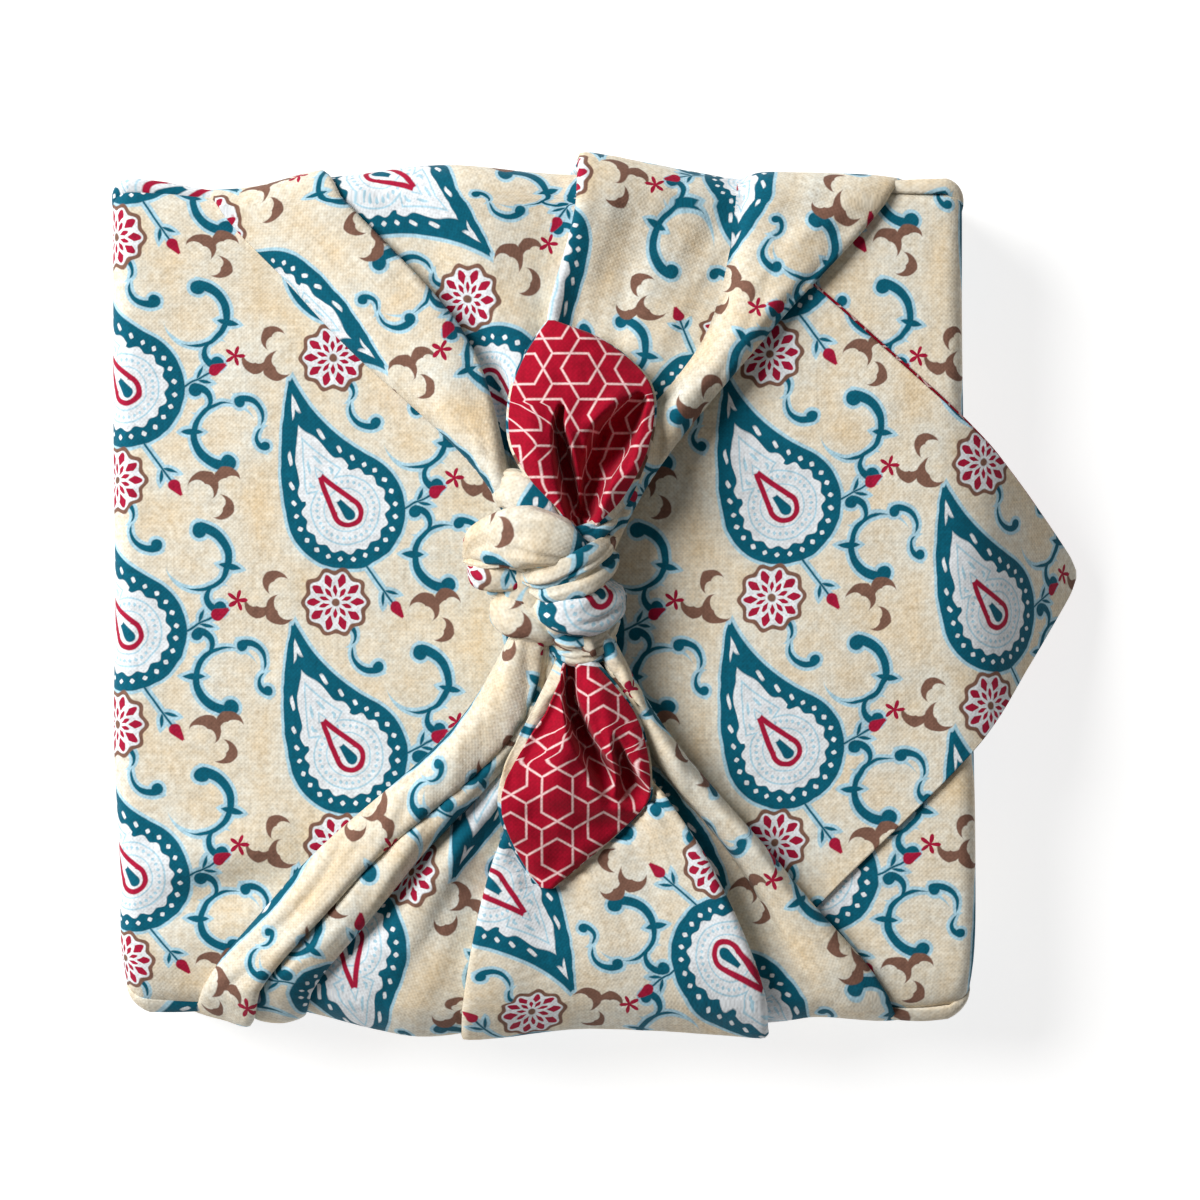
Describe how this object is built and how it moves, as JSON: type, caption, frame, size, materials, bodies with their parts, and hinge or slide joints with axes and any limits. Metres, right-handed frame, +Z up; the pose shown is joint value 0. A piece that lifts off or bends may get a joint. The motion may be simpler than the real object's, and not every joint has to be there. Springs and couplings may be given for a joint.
{
  "type": "furoshiki wrap",
  "caption": "Square cloth wrapped corner over corner round a flat square parcel and tied on top in a knot with two leaf-shaped ears.",
  "frame": {"origin": "middle of the flat underside of the wrapped parcel, on the surface it rests on", "axes": "+Z up out of the top with the knot, +Y towards the knot's upper ear, +X towards the hanging tip of the crossing flap"},
  "size_m": [0.2244, 0.1997, 0.0611],
  "materials": {
    "front_cotton": "matte plain-weave cotton, printed",
    "reverse_cotton": "matte plain-weave cotton, printed"
  },
  "bodies": {
    "root": {"wrap_cloth": "front_cotton", "reverse_upper_ear": "reverse_cotton", "reverse_lower_ear": "reverse_cotton", "reverse_flap_tip": "reverse_cotton"}
  },
  "joints": []
}
